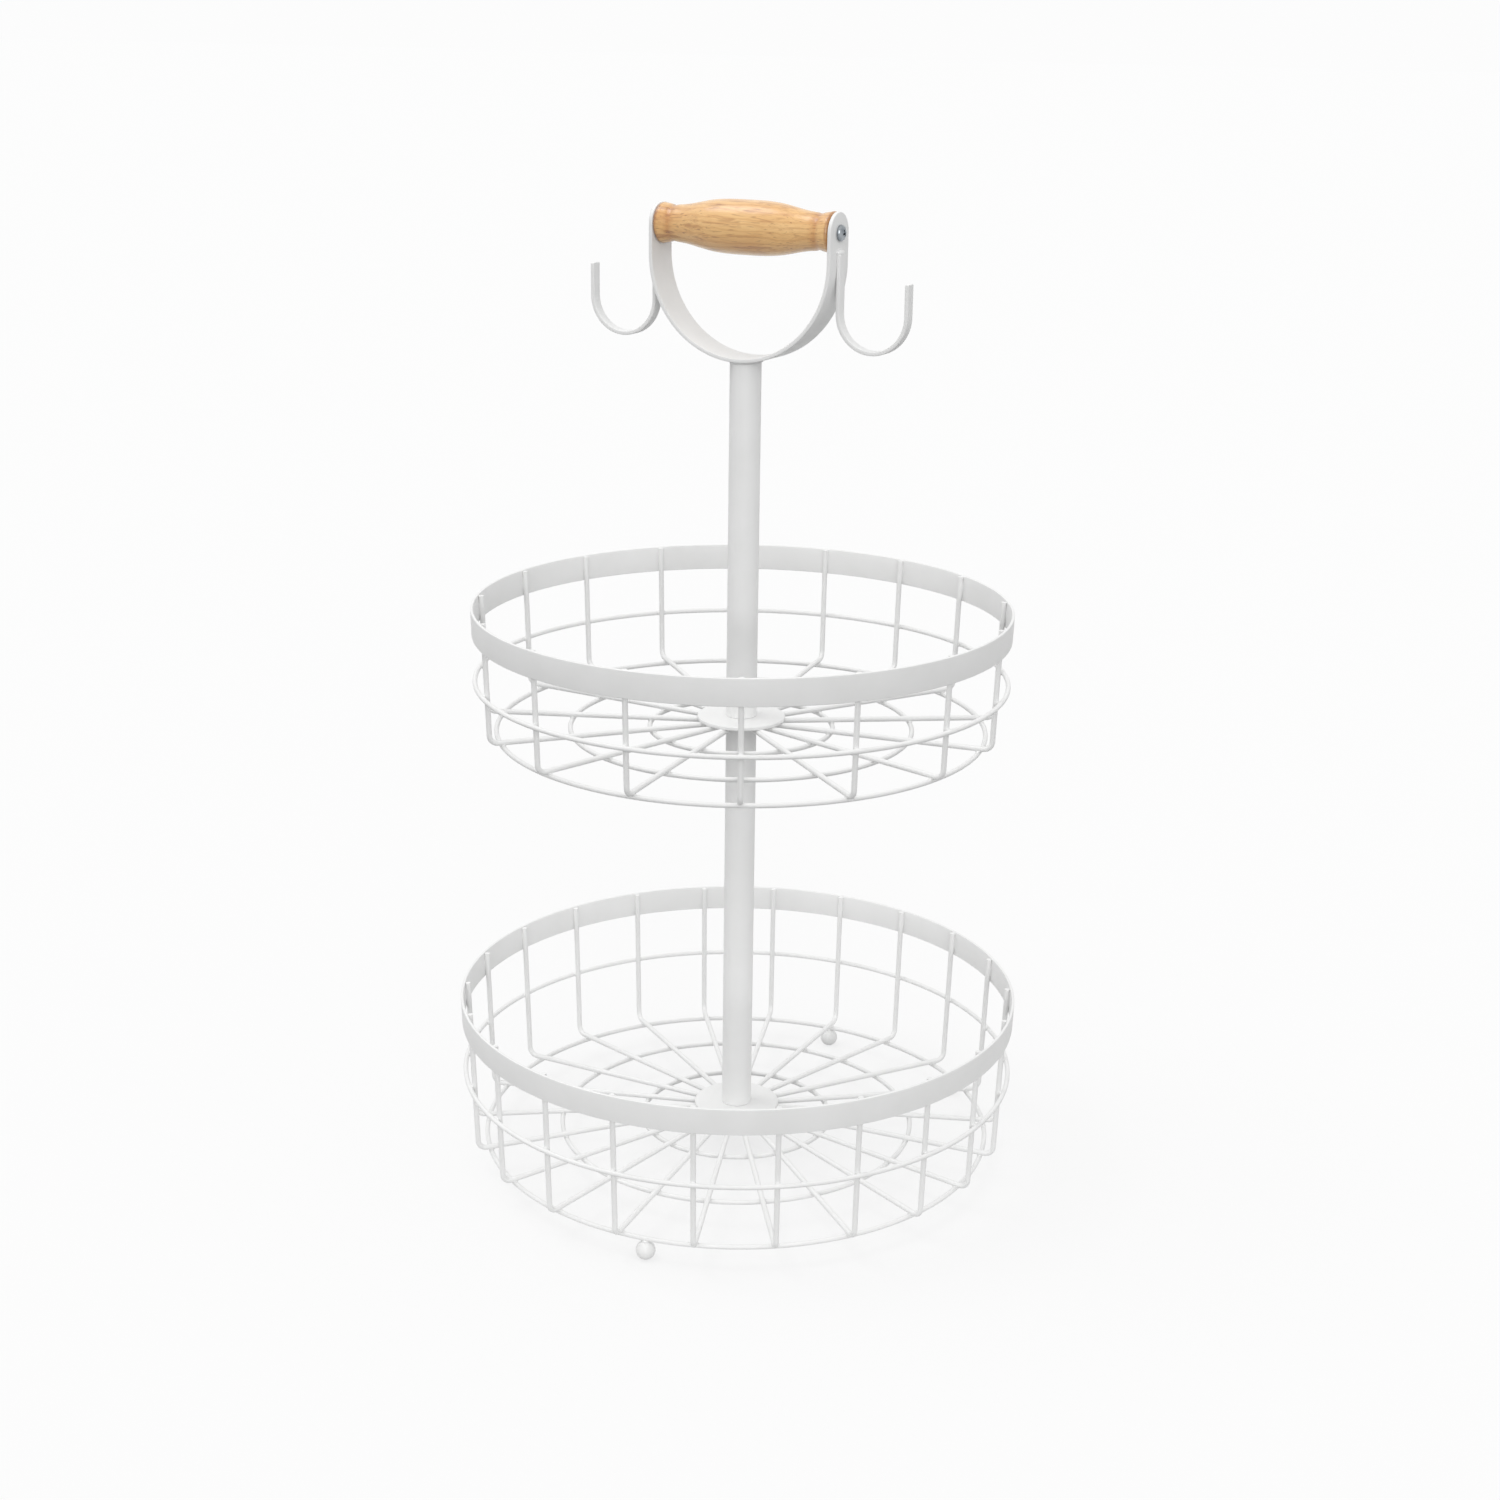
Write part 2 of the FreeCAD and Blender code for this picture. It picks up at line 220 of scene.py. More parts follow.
# What the frame gives: the strap and the centre of its bend, the hooks, the screws and the grip
strap_low, strap_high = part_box("handle_strap")
strap_width = strap_high.y - strap_low.y
strap_centre_height = strap_low.z + strap_high.x
hook_low, hook_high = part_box("banana_hooks")
screw_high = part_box("grip_screws")[1]
grip_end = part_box("wood_grip")[1].x
grip_axis = Vector(next(joint["pos_m"] for joint in frame["joints"] if joint["name"] == "grip_turn"))


def node_points(node):
    """The corners of a CAD node's mesh."""
    return [vertex.co for vertex in frame["nodes"][node].data.vertices]


def radii_at(node, height):
    """Smallest and largest distance from the post among a node's corners at a height."""
    radii = [point.xy.length for point in node_points(node) if abs(point.z - height) < same_height]
    return min(radii), max(radii)


def outward_from_post(points):
    """The level direction from the post to the middle of some points."""
    return sum((Vector((point.x, point.y, 0)) for point in points), Vector()).normalized()


def strap_underside(x):
    """The height of the strap's outer face at a place across its bend."""
    return strap_centre_height - math.sqrt(strap_high.x**2 - x**2)


def smooth(mesh):
    mesh.shade_smooth()
    mesh.set_sharp_from_angle(angle=math.radians(sharp_angle))


def finished(shape):
    """Turns a bmesh into a mesh, with its faces turned outwards."""
    bmesh.ops.recalc_face_normals(shape, faces=shape.faces)
    mesh = bpy.data.meshes.new("shape")
    shape.to_mesh(mesh)
    shape.free()
    smooth(mesh)
    return mesh


def mesh_from(points, faces):
    """A clean closed mesh, with points that fall together merged."""
    shape = bmesh.new()
    corners = [shape.verts.new(point) for point in points]
    for face in faces:
        shape.faces.new([corners[index] for index in face])
    bmesh.ops.remove_doubles(shape, verts=shape.verts, dist=same_point)
    bmesh.ops.dissolve_degenerate(shape, edges=shape.edges, dist=same_point)
    return finished(shape)


def joined(meshes):
    """One mesh from several."""
    shape = bmesh.new()
    for mesh in meshes:
        shape.from_mesh(mesh)
        bpy.data.meshes.remove(mesh)
    return finished(shape)


def add_piece(name, mesh, body, slot, *replaced):
    """Puts a mesh into the scene as a piece of the object."""
    piece = bpy.data.objects.new(name, mesh)
    bpy.context.scene.collection.objects.link(piece)
    mesh.materials.append(materials[slot])
    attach(piece, body)
    if replaced:
        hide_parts(*replaced)


def add_metal(name, mesh, *replaced):
    add_piece(name, mesh, "stand", "powder_coat", *replaced)


def rounded(corners, radius):
    """A closed outline with an arc in place of each corner."""
    outline = []
    for before, corner, after in zip(corners[-1:] + corners[:-1], corners, corners[1:] + corners[:1]):
        to_before = (before - corner).normalized()
        to_after = (after - corner).normalized()
        half_angle = to_before.angle(to_after) / 2
        centre = corner + (to_before + to_after).normalized() * (radius / math.sin(half_angle))
        start = corner + to_before * (radius / math.tan(half_angle)) - centre
        end = corner + to_after * (radius / math.tan(half_angle)) - centre
        for step in range(edge_steps + 1):
            outline.append(centre + start.lerp(end, step / edge_steps).normalized() * radius)
    return outline


def ring_section(bottom, bottom_radii, top, top_radii, edge):
    """The section of a ring or tube with rounded edges, from its inner and outer radius at each end."""
    corners = [Vector((bottom_radii[0], bottom)), Vector((bottom_radii[1], bottom)),
               Vector((top_radii[1], top)), Vector((top_radii[0], top))]
    return rounded(corners, edge)


def lathe(outline, closed=True, axis_up=True):
    """Turns an outline of (radius, place along the axis) about Z, or about X."""
    points = []
    for step in range(lathe_steps):
        angle = math.tau * step / lathe_steps
        for radius, along in outline:
            across = (radius * math.cos(angle), radius * math.sin(angle))
            points.append((*across, along) if axis_up else (along, *across))
    count = len(outline)
    faces = []
    for step in range(lathe_steps):
        here = step * count
        there = (step + 1) % lathe_steps * count
        for index in range(count if closed else count - 1):
            after = (index + 1) % count
            faces.append((here + index, here + after, there + after, there + index))
    return mesh_from(points, faces)


def strip_half_outline(length, width, corner, steps):
    """One long side of a flat strip, from end to end, with rounded corners."""
    end = length / 2
    side = width / 2
    turns = [math.pi / 2 * step / corner_steps for step in range(corner_steps + 1)]
    arc = [(corner * math.cos(turn), corner * math.sin(turn)) for turn in turns]
    left = [(-end + corner - along, side - corner + across) for along, across in arc]
    middle = [(-end + corner + (length - 2 * corner) * step / steps, side) for step in range(1, steps)]
    right = [(end - corner + along, side - corner + across) for along, across in reversed(arc)]
    return [(-end, 0)] + left + middle + right + [(end, 0)]


def bent_strip(length, width, corner, place, steps):
    """A flat strip with rounded corners and edges, bent by place(along, across, out)."""
    layers = []
    for step in range(edge_steps + 1):
        turn = math.pi / 2 * step / edge_steps
        inset = strip_edge * (1 - math.sin(turn))
        layers.append((inset, -strip_thickness / 2 + strip_edge * (1 - math.cos(turn))))
    layers += [(inset, -out) for inset, out in reversed(layers)]

    points = []
    for inset, out in layers:
        half = strip_half_outline(length - 2 * inset, width - 2 * inset, corner - inset, steps)
        whole = half + [(along, -across) for along, across in reversed(half[1:-1])]
        points += [place(along, across, out) for along, across in whole]
    count = len(whole)

    faces = []
    for layer in range(len(layers) - 1):
        low = layer * count
        high = low + count
        for index in range(count):
            after = (index + 1) % count
            faces.append((low + index, low + after, high + after, high + index))
    for base in (0, (len(layers) - 1) * count):
        for index in range(len(half) - 1):
            mirror = (count - index) % count
            mirror_after = count - index - 1
            corners = (index, index + 1, mirror_after, mirror)
            faces.append(tuple(base + corner for corner in dict.fromkeys(corners)))
    return mesh_from(points, faces)


def cut_away(mesh, cutter):
    """The mesh with another one taken out of it."""
    target = bpy.data.objects.new("target", mesh)
    tool = bpy.data.objects.new("tool", cutter)
    for thing in (target, tool):
        bpy.context.scene.collection.objects.link(thing)
    cut = target.modifiers.new("cut", "BOOLEAN")
    cut.operation = "DIFFERENCE"
    cut.solver = "EXACT"
    cut.object = tool
    bpy.context.view_layer.update()
    result = bpy.data.meshes.new_from_object(target.evaluated_get(bpy.context.evaluated_depsgraph_get()))
    for thing in (target, tool):
        bpy.data.objects.remove(thing)
    smooth(result)
    return result


def weld_lump(place, across, along, half_sizes):
    """An uneven lump of weld, pressed between two pieces."""
    out = across.cross(along)
    axes = Matrix((across * half_sizes[0], along * half_sizes[1], out * half_sizes[2])).transposed()
    lump = bmesh.new()
    bmesh.ops.create_uvsphere(lump, u_segments=weld_segments, v_segments=weld_rows, radius=1.0)
    for vertex in lump.verts:
        direction = vertex.co.copy()
        swell = 1 + weld_unevenness * noise.noise(direction * weld_ripple + place / mm)
        vertex.co = place + axes @ (direction * swell)
    return finished(lump)


def add_node(tree, kind, inputs=None, **settings):
    """A shader node with its properties set and its sockets filled or linked."""
    made = tree.nodes.new(kind)
    for name, value in settings.items():
        setattr(made, name, value)
    for socket, value in (inputs or {}).items():
        if isinstance(value, bpy.types.NodeSocket):
            tree.links.new(value, made.inputs[socket])
        else:
            made.inputs[socket].default_value = value
    return made


def empty_material(name):
    """A material with an empty tree."""
    material = bpy.data.materials.new(name)
    material.use_nodes = True
    material.node_tree.nodes.clear()
    return material, material.node_tree


def object_place(tree):
    """The place of a point in the object's frame."""
    return add_node(tree, "ShaderNodeTexCoord").outputs["Object"]


def stretched(tree, place, stretch):
    return add_node(tree, "ShaderNodeMapping", {"Vector": place, "Scale": stretch}).outputs["Vector"]


def noise_at(tree, place, scale, detail=plain_detail, waviness=0.0):
    """A noise pattern."""
    made = add_node(tree, "ShaderNodeTexNoise",
                    {"Vector": place, "Scale": scale, "Detail": detail, "Distortion": waviness})
    return made.outputs["Fac"]


def ramp(tree, value, *stops):
    """Maps a value to a colour through stops of (position, colour)."""
    made = add_node(tree, "ShaderNodeValToRGB", {"Fac": value})
    elements = made.color_ramp.elements
    while len(elements) < len(stops):
        elements.new(stops[len(elements) - 1][0])
    for element, (position, colour) in zip(elements, stops):
        element.position = position
        element.color = (*colour, 1.0)
    return made.outputs["Color"]


def spread(tree, value, low, high):
    """Maps a noise pattern to a range."""
    limits = {"From Min": noise_low, "From Max": noise_high, "To Min": low, "To Max": high}
    return add_node(tree, "ShaderNodeMapRange", {"Value": value, **limits}).outputs["Result"]


def tinted(tree, colour, share, value, *stops):
    """A colour multiplied by a share of the tint that stops give for a value."""
    made = add_node(tree, "ShaderNodeMix", {0: share, 6: colour, 7: ramp(tree, value, *stops)},
                    data_type="RGBA", blend_type="MULTIPLY")
    return made.outputs[2]


def bump(tree, pattern, strength, depth, below=None):
    """The normal of a surface with a pattern in relief, over a coarser one if there is one below."""
    made = add_node(tree, "ShaderNodeBump", {"Height": pattern, "Strength": strength, "Distance": depth})
    if below:
        tree.links.new(below, made.inputs["Normal"])
    return made.outputs["Normal"]


def surface(tree, colour, roughness, normal):
    """A shader with its colour, roughness and relief from patterns."""
    shader = add_node(tree, "ShaderNodeBsdfPrincipled",
                      {"Base Color": colour, "Roughness": roughness, "Normal": normal})
    add_node(tree, "ShaderNodeOutputMaterial", {"Surface": shader.outputs["BSDF"]})
    return shader


def powder_coat():
    """White powder coat: satin, with the fine orange peel of a baked coat."""
    material, tree = empty_material("powder_coat")
    place = object_place(tree)
    cloud = noise_at(tree, place, coat_cloud_scale, rich_detail)
    peel = noise_at(tree, place, coat_peel_scale)
    grain = noise_at(tree, place, coat_grain_scale, little_detail)
    colour = ramp(tree, cloud, (noise_low, coat_dark), (noise_high, coat_light))
    peel_normal = bump(tree, peel, coat_peel_strength, coat_peel_depth)
    normal = bump(tree, grain, coat_grain_strength, coat_grain_depth, peel_normal)
    surface(tree, colour, spread(tree, peel, *coat_roughness), normal)
    return material


def wood_grain(tree, place, fibre):
    """The wood's colour: drifting tone, wavy growth lines, fibres, dark streaks and short flecks."""
    along_grain = stretched(tree, place, growth_stretch)
    drift = noise_at(tree, along_grain, drift_scale, rich_detail)
    growth = add_node(tree, "ShaderNodeTexWave",
                      {"Vector": along_grain, "Scale": growth_scale, "Distortion": growth_waviness,
                       "Detail": rich_detail, "Detail Scale": growth_detail_scale,
                       "Detail Roughness": growth_detail_roughness},
                      wave_type="BANDS", bands_direction="Z")
    along_streak = stretched(tree, place, streak_stretch)
    streak = noise_at(tree, along_streak, streak_scale, rich_detail, streak_waviness)
    along_fleck = stretched(tree, place, fleck_stretch)
    fleck = noise_at(tree, along_fleck, fleck_scale, plain_detail, fleck_waviness)
    colour = ramp(tree, drift, (noise_low, wood_dark), (noise_high, wood_light))
    colour = tinted(tree, colour, growth_share, growth.outputs["Fac"],
                    (0.0, growth_tint), (growth_line_end, untinted))
    colour = tinted(tree, colour, fibre_share, fibre,
                    (fibre_limits[0], fibre_tint), (fibre_limits[1], untinted))
    colour = tinted(tree, colour, streak_share, streak,
                    (streak_limits[0], streak_tint), (streak_limits[1], untinted))
    return tinted(tree, colour, fleck_share, fleck,
                  (fleck_limits[0], untinted), (fleck_limits[1], fleck_tint))


def painted_groove_and_end_shade(tree, place, colour):
    """A colour darkened by painted shade in the groove near each end of the grip, and at each end by the darker
    end grain together with painted shade where the grip meets the ear.
    """
    painted_shade_reach = 2 * grip_bead_width

    def stop(from_end, tint):
        return 1 - from_end / painted_shade_reach, tint

    across = add_node(tree, "ShaderNodeSeparateXYZ", {"Vector": place}).outputs["X"]
    from_middle = add_node(tree, "ShaderNodeMath", {0: across}, operation="ABSOLUTE").outputs[0]
    to_end = add_node(tree, "ShaderNodeMapRange",
                      {"Value": from_middle, "From Min": grip_end - painted_shade_reach, "From Max": grip_end})
    return tinted(tree, colour, 1.0, to_end.outputs["Result"],
                  # Painted shade in the groove, fading out on either side of it
                  stop(grip_bead_width + groove_shade_reach_inward, untinted),
                  stop(grip_bead_width, groove_painted_shade),
                  stop(grip_bead_width - groove_shade_reach_outward, untinted),
                  # At the ends: painted shade where the grip meets the ear, over the darker end grain
                  stop(end_grain_and_shade_width + end_grain_and_shade_fade, untinted),
                  stop(end_grain_and_shade_width, end_grain_and_painted_shade))


def beech():
    """Turned beech under clear lacquer."""
    material, tree = empty_material("beech")
    place = object_place(tree)
    fibre = noise_at(tree, stretched(tree, place, fibre_stretch), fibre_scale, rich_detail)
    colour = painted_groove_and_end_shade(tree, place, wood_grain(tree, place, fibre))
    normal = bump(tree, fibre, fibre_strength, fibre_depth)
    shader = surface(tree, colour, spread(tree, fibre, *wood_roughness), normal)
    shader.inputs["Coat Weight"].default_value = lacquer_weight
    shader.inputs["Coat Roughness"].default_value = lacquer_roughness
    shader.inputs["Coat IOR"].default_value = lacquer_index
    return material


def zinc():
    """Bright zinc plate, a little cloudy, with fine marks from the tools."""
    material, tree = empty_material("zinc")
    place = object_place(tree)
    cloud = noise_at(tree, place, zinc_cloud_scale, rich_detail)
    marks = noise_at(tree, stretched(tree, place, tool_mark_stretch), tool_mark_scale)
    colour = ramp(tree, cloud, (noise_low, zinc_dark), (noise_high, zinc_light))
    normal = bump(tree, marks, tool_mark_strength, tool_mark_depth)
    shader = surface(tree, colour, spread(tree, marks, *zinc_roughness), normal)
    shader.inputs["Metallic"].default_value = 1.0
    return material


materials = {"powder_coat": powder_coat(), "beech": beech(), "zinc": zinc()}


def dress_nodes():
    """Every CAD node takes the finish of its slot."""
    for entry in frame["record"]["subparts"]:
        mesh = frame["nodes"][entry["node"]].data
        mesh.materials.clear()
        mesh.materials.append(materials[entry["material_slot"]])


def add_rim_band(basket):
    """The rolled band, with its rounded edges."""
    node = basket + "_rim_band"
    low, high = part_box(node)
    section = ring_section(low.z, radii_at(node, low.z), high.z, radii_at(node, high.z), band_edge)
    add_metal(basket + "_rolled_rim", lathe(section), node)


def add_hub_disc(basket):
    """The stamped disc, with its rounded edges."""
    node = basket + "_hub_disc"
    low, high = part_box(node)
    radii = radii_at(node, high.z)
    add_metal(basket + "_stamped_hub", lathe(ring_section(low.z, radii, high.z, radii, disc_edge)), node)


def add_basket_welds(basket):
    """A weld at each place where a rib crosses a ring, and where it meets the rim and the hub."""
    rings = [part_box(basket + "_floor_ring_" + place) for place in ("outer", "middle", "inner")]
    wall_low, wall_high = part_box(basket + "_wall_ring")
    wall_wire = wall_high.z - wall_low.z
    rim = basket + "_rim_band"
    rim_low, rim_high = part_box(rim)
    rim_inner = (radii_at(rim, rim_low.z)[0] + radii_at(rim, rim_high.z)[0]) / 2
    hub_low, hub_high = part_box(basket + "_hub_disc")
    lumps = []
    for rib in sorted(name for name in frame["nodes"] if name.startswith(basket + "_rib_")):
        points = node_points(rib)
        outward = outward_from_post(points)
        sideways = z_axis.cross(outward)
        wall_place = outward * (wall_high.x - wall_wire) + z_axis * ((wall_low.z + wall_high.z) / 2)
        lumps.append(weld_lump(wall_place, sideways, z_axis, crossing_weld))
        rim_place = outward * rim_inner + z_axis * ((rim_low.z + rim_high.z) / 2)
        lumps.append(weld_lump(rim_place, sideways, z_axis, rim_weld))
        for low, high in rings:
            wire = high.z - low.z
            ring_place = outward * (high.x - wire / 2) + z_axis * high.z
            lumps.append(weld_lump(ring_place, sideways, outward, crossing_weld))
        rib_end = min(point.xy.length for point in points)
        hub_place = outward * ((rib_end + hub_high.x) / 2) + z_axis * hub_low.z
        lumps.append(weld_lump(hub_place, sideways, outward, hub_weld))
    add_metal(basket + "_spot_welds", joined(lumps))


def add_foot_welds():
    """Where each ball foot is welded to the outer floor ring."""
    ring_low, ring_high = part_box("lower_floor_ring_outer")
    ring_radius = ring_high.x - (ring_high.z - ring_low.z) / 2
    ball_height = ring_low.z
    on_table = [point for point in node_points("ball_feet") if abs(point.z) < same_height]
    feet = []
    while on_table:
        first = on_table[0]
        feet.append([point for point in on_table if (point - first).length < ball_height])
        on_table = [point for point in on_table if (point - first).length >= ball_height]
    lumps = []
    for foot in feet:
        outward = outward_from_post(foot)
        foot_place = outward * ring_radius + z_axis * ring_low.z
        lumps.append(weld_lump(foot_place, z_axis.cross(outward), outward, foot_weld))
    add_metal("foot_welds", joined(lumps))


def add_posts():
    """Both lengths of post, the upper one hollowed to the strap."""
    for node, name in (("lower_post", "lower_tube"), ("upper_post", "upper_tube")):
        low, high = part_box(node)
        radii = radii_at(node, low.z)
        tube = lathe(ring_section(low.z, radii, high.z, radii, post_edge))
        if node == "upper_post":
            for vertex in tube.vertices:
                if vertex.co.z > (low.z + high.z) / 2:
                    vertex.co.z += strap_underside(vertex.co.x) - high.z
        add_metal(name, tube, node)


def add_post_weld():
    """The uneven bead that welds the post to the strap."""
    post_radius = radii_at("upper_post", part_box("upper_post")[0].z)[1]
    shape = bmesh.new()
    rows = []
    for step in range(bead_steps):
        angle = math.tau * step / bead_steps
        outward = Vector((math.cos(angle), math.sin(angle), 0))
        radius = bead_radius * (1 + bead_unevenness * noise.noise(outward * bead_ripple))
        core = outward * (post_radius + bead_radius * bead_out_share)
        core.z = strap_underside(core.x) - bead_radius * bead_drop_share
        row = []
        for corner in range(bead_sides):
            turn = math.tau * corner / bead_sides
            around = outward * math.cos(turn) + z_axis * math.sin(turn)
            row.append(shape.verts.new(core + around * radius))
        rows.append(row)
    for here, there in zip(rows, rows[1:] + rows[:1]):
        for corner in range(bead_sides):
            after = (corner + 1) % bead_sides
            shape.faces.new((here[corner], there[corner], there[after], here[after]))
    add_metal("post_weld", finished(shape))


def add_strap():
    """The U-shaped strap, with its ears and their screw holes."""
    middle_radius = strap_high.x - strip_thickness / 2
    quarter = middle_radius * math.pi / 2
    ear_top = strap_high.z - strap_centre_height
    length = 2 * (quarter + ear_top)

    def place(along, across, out):
        side = math.copysign(1.0, along)
        beyond = max(abs(along) - quarter, 0.0)
        angle = side * min(abs(along), quarter) / middle_radius
        radius = middle_radius + out
        return Vector((radius * math.sin(angle), across,
                       strap_centre_height - radius * math.cos(angle) + beyond))

    strap = bent_strip(length, strap_width, strap_width / 2, place, strap_steps)
    past_ears = 2 * strap_high.x
    hole_section = [(0, -past_ears), (screw_hole_radius, -past_ears),
                    (screw_hole_radius, past_ears), (0, past_ears)]
    hole = lathe(hole_section, closed=False, axis_up=False)
    hole.transform(Matrix.Translation(grip_axis))
    add_metal("bent_strap", cut_away(strap, hole), "handle_strap")


def add_hooks():
    """The two hooks of narrow strip, each with a lump of weld at the top of its leg."""
    width = hook_high.y - hook_low.y
    leg = strap_high.x + strip_thickness / 2
    tip = hook_high.x - strip_thickness / 2
    middle_radius = (tip - leg) / 2
    turn_height = hook_low.z + middle_radius + strip_thickness / 2
    tip_height = max(point.z for point in node_points("banana_hooks") if point.x > tip)
    leg_length = hook_high.z - turn_height
    arc_length = middle_radius * math.pi
    tip_length = tip_height - turn_height
    length = leg_length + arc_length + tip_length
    hooks = []
    lumps = []
    for side in (1, -1):

        def place(along, across, out):
            run = along + length / 2
            angle = min(max(run - leg_length, 0.0), arc_length) / middle_radius
            rise = max(leg_length - run, 0.0) + max(run - leg_length - arc_length, 0.0)
            radius = middle_radius + out
            x = leg + middle_radius - radius * math.cos(angle)
            return Vector((side * x, side * across, turn_height - radius * math.sin(angle) + rise))

        hooks.append(bent_strip(length, width, hook_corner, place, hook_steps))
        weld_out = side * (strap_high.x + hook_weld_stand_off)
        weld_place = x_axis * weld_out + z_axis * (hook_high.z + hook_weld_rise)
        lumps.append(weld_lump(weld_place, y_axis, z_axis, hook_weld))
    add_metal("strip_hooks", joined(hooks), "banana_hooks")
    add_metal("hook_welds", joined(lumps))


def add_grip():
    """The turned grip, with the fine groove that sets off the flare at each end. Its bore stays as it is."""
    solid = frame["nodes"]["wood_grip"].data
    groove = grip_end - grip_bead_width
    points = []
    for vertex in solid.vertices:
        around = vertex.co - grip_axis
        radius = around.yz.length
        if radius > 2 * screw_hole_radius:
            off_groove = (abs(around.x) - groove) / grip_groove_width
            keep = 1 - grip_groove_depth * math.exp(-off_groove**2) / radius
            around = Vector((around.x, around.y * keep, around.z * keep))
        points.append(grip_axis + around)
    faces = [tuple(polygon.vertices) for polygon in solid.polygons]
    add_piece("turned_grip", mesh_from(points, faces), "grip", "beech", "wood_grip")


def recess_wing(top, turn):
    """One wing of the cross recess: a wedge that narrows towards its bottom."""
    wing = bmesh.new()
    bmesh.ops.create_cube(wing, size=2.0)
    for vertex in wing.verts:
        deep = vertex.co.x < 0
        taper = recess_taper_share if deep else 1.0
        height = top - recess_depth if deep else top + recess_depth
        reach = vertex.co.y * recess_reach * taper
        side = vertex.co.z * recess_half_width * taper
        vertex.co = Vector((height, reach, side))
    wedge = finished(wing)
    wedge.transform(Matrix.Rotation(math.radians(turn), 4, "X"))
    return wedge


def add_screws():
    """The pan-head screws, each with a tapered cross recess."""
    seat = strap_high.x + screw_head_play
    point = min(abs(corner.x) for corner in node_points("grip_screws"))
    head_radius = screw_high.z - grip_axis.z
    top = screw_high.x
    profile = [(0, point), (screw_radius, point + screw_point_length), (screw_radius, seat)]
    for step in range(screw_head_steps + 1):
        angle = math.pi / 2 * step / screw_head_steps
        radius = head_radius * math.cos(angle)**(2 / screw_head_fullness)
        profile.append((radius, seat + (top - seat) * math.sin(angle)**(2 / screw_head_fullness)))
    screw = lathe(profile, closed=False, axis_up=False)
    for turn in (recess_turn, recess_turn + quarter_turn):
        screw = cut_away(screw, recess_wing(top, turn))

    other_screw = screw.copy()
    other_screw.transform(Matrix.Rotation(math.pi, 4, "Z"))
    pair = joined([screw, other_screw])
    pair.transform(Matrix.Translation(grip_axis))
    add_piece("cross_screws", pair, "grip", "zinc", "grip_screws")


def only_seen(tree):
    """1 on rays that show the background: from the camera, or by a reflection or through glass."""
    path = add_node(tree, "ShaderNodeLightPath").outputs
    seen = path["Is Camera Ray"]
    for kind in ("Is Glossy Ray", "Is Transmission Ray"):
        seen = add_node(tree, "ShaderNodeMath", {0: seen, 1: path[kind]}, operation="MAXIMUM").outputs[0]
    return seen


def mixed(tree, share, first, second):
    """Two shaders mixed by a share of the second."""
    return add_node(tree, "ShaderNodeMixShader", {0: share, 1: first, 2: second}).outputs["Shader"]


def pale_floor():
    """A floor that keeps the shadow, and throws back most of its light under the object."""
    material, tree = empty_material("pale_floor")
    distance = add_node(tree, "ShaderNodeVectorMath", {0: object_place(tree)}, operation="LENGTH")
    share = add_node(tree, "ShaderNodeMapRange",
                     {"Value": distance.outputs["Value"],
                      "From Min": near_floor_radius, "From Max": far_floor_radius,
                      "To Min": near_floor_bounce, "To Max": far_floor_bounce})
    bounce = add_node(tree, "ShaderNodeBsdfDiffuse", {"Color": share.outputs["Result"]})
    shaded = add_node(tree, "ShaderNodeBsdfDiffuse", {"Color": floor_seen_colour})
    glow = add_node(tree, "ShaderNodeEmission", {"Strength": backdrop_level})
    seen = mixed(tree, floor_glow_share, shaded.outputs["BSDF"], glow.outputs["Emission"])
    floor = mixed(tree, only_seen(tree), bounce.outputs["BSDF"], seen)
    add_node(tree, "ShaderNodeOutputMaterial", {"Surface": floor})
    return material


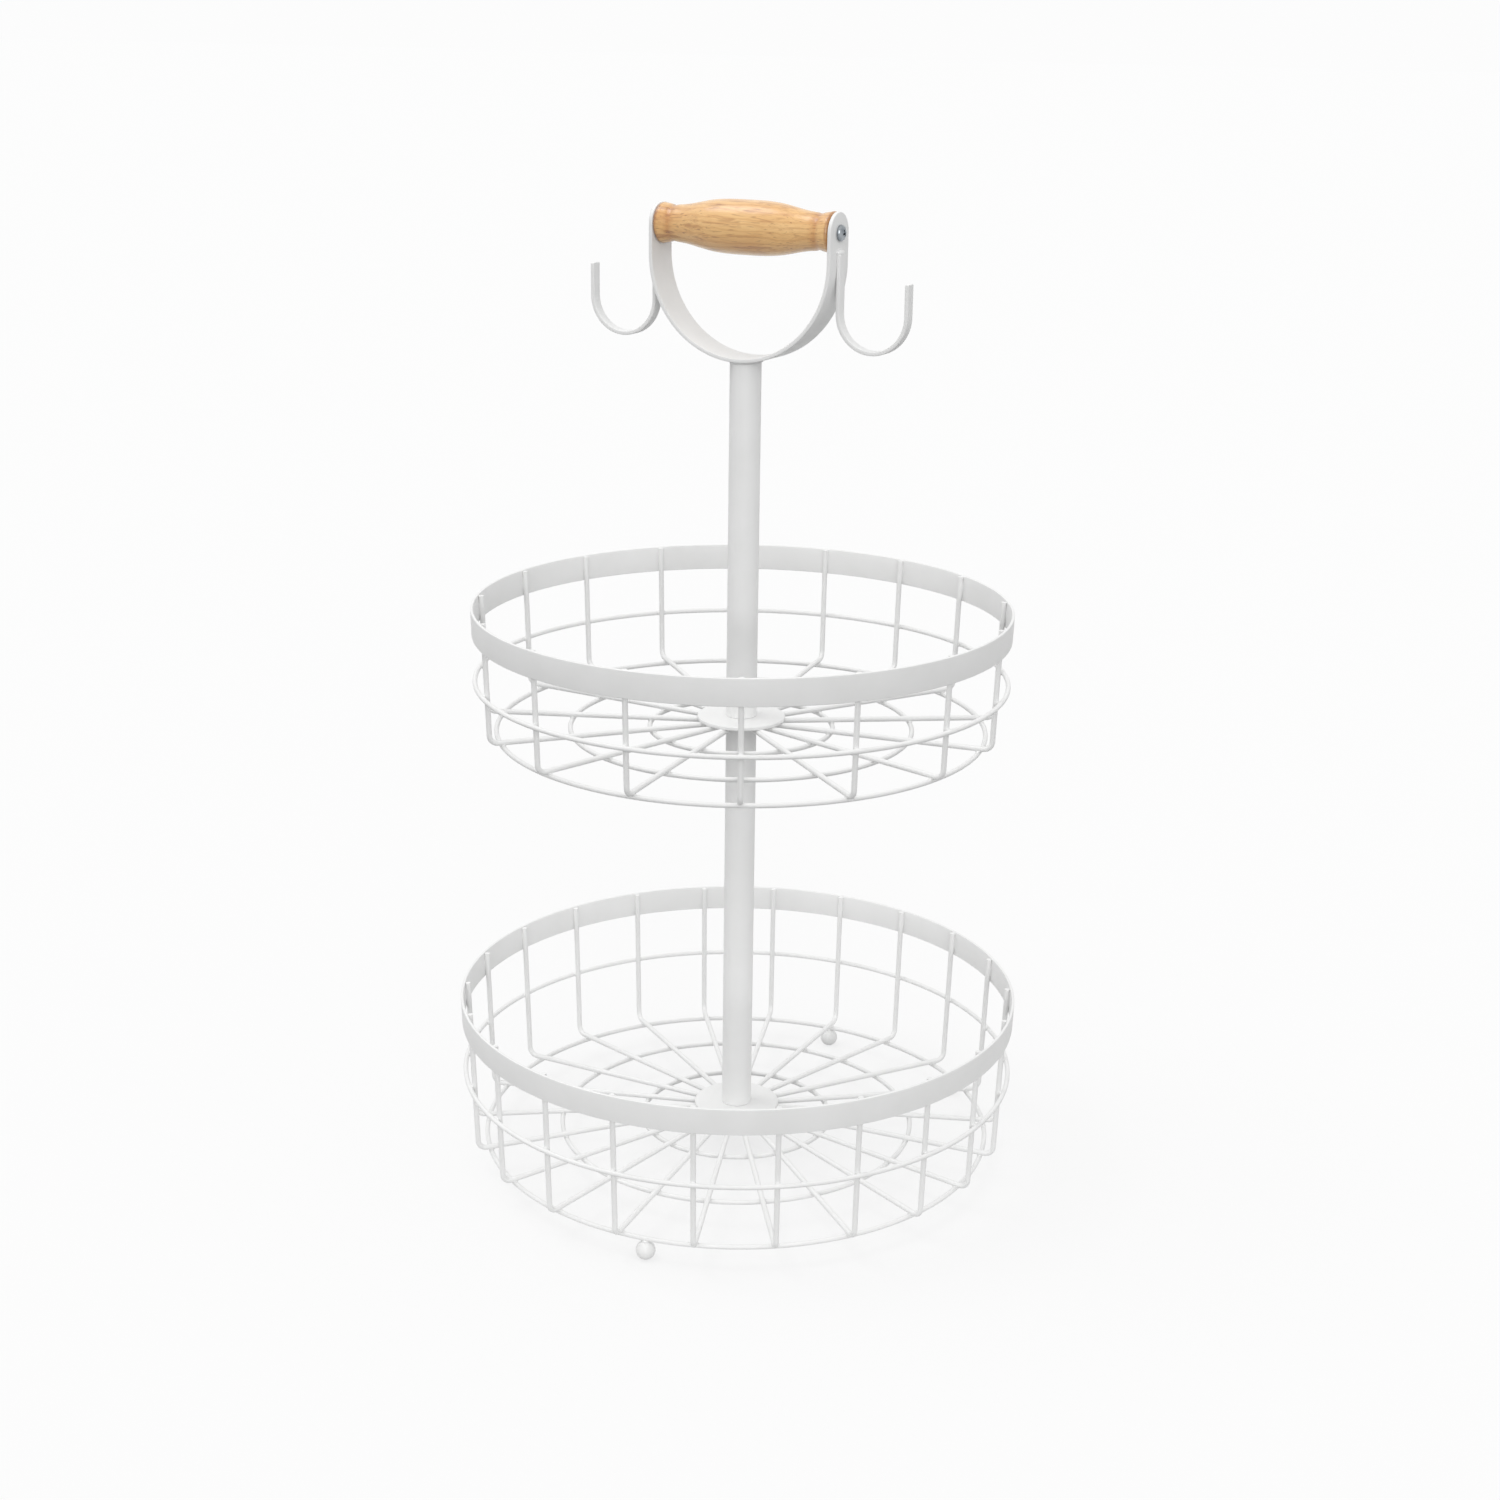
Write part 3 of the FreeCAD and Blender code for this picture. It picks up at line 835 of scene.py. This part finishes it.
def add_floor():
    """The floor, which isn't part of the object."""
    half = floor_size / 2
    corners = [(-half, -half, 0), (half, -half, 0), (half, half, 0), (-half, half, 0)]
    mesh = bpy.data.meshes.new("floor")
    mesh.from_pydata(corners, [], [(0, 1, 2, 3)])
    mesh.materials.append(pale_floor())
    floor = bpy.data.objects.new("floor", mesh)
    bpy.context.scene.collection.objects.link(floor)


def add_lamp(name, level, spread_angle, direction):
    """A broad lamp, far away in a direction, that lights a white face turned to it to a level."""
    lamp = bpy.data.lights.new(name, "SUN")
    lamp.energy = level * math.pi
    lamp.angle = math.radians(spread_angle)
    holder = bpy.data.objects.new(name, lamp)
    holder.rotation_euler = direction.to_track_quat("Z", "Y").to_euler()
    bpy.context.scene.collection.objects.link(holder)


def add_light():
    """An even sky, and the broad soft lamps."""
    world = bpy.data.worlds.new("studio")
    world.use_nodes = True
    tree = world.node_tree
    tree.nodes.clear()
    light = add_node(tree, "ShaderNodeBackground", {"Color": white, "Strength": sky_level})
    seen = add_node(tree, "ShaderNodeBackground", {"Color": white, "Strength": backdrop_level})
    sky = mixed(tree, only_seen(tree), light.outputs["Background"], seen.outputs["Background"])
    add_node(tree, "ShaderNodeOutputWorld", {"Surface": sky})
    bpy.context.scene.world = world
    add_lamp("high_lamp", high_lamp_level, high_lamp_spread, high_lamp_direction)
    add_lamp("low_lamp", low_lamp_level, low_lamp_spread, low_lamp_direction)


def add_camera():
    """The photograph's view."""
    camera = bpy.data.cameras.new("camera")
    camera.sensor_width = sensor_width
    camera.lens = camera_focal_share * sensor_width
    holder = bpy.data.objects.new("camera", camera)
    facing = Euler((math.radians(camera_tilt), 0, math.radians(camera_heading))).to_matrix()
    rolled = facing @ Matrix.Rotation(math.radians(camera_roll), 3, "Z")
    holder.matrix_world = Matrix.Translation(camera_place) @ rolled.to_4x4()
    bpy.context.scene.collection.objects.link(holder)
    bpy.context.scene.camera = holder


bpy.context.scene.view_settings.view_transform = "Standard"
dress_nodes()
for basket in ("lower", "upper"):
    add_rim_band(basket)
    add_hub_disc(basket)
    add_basket_welds(basket)
add_foot_welds()
add_posts()
add_post_weld()
add_strap()
add_hooks()
add_grip()
add_screws()
add_floor()
add_light()
add_camera()
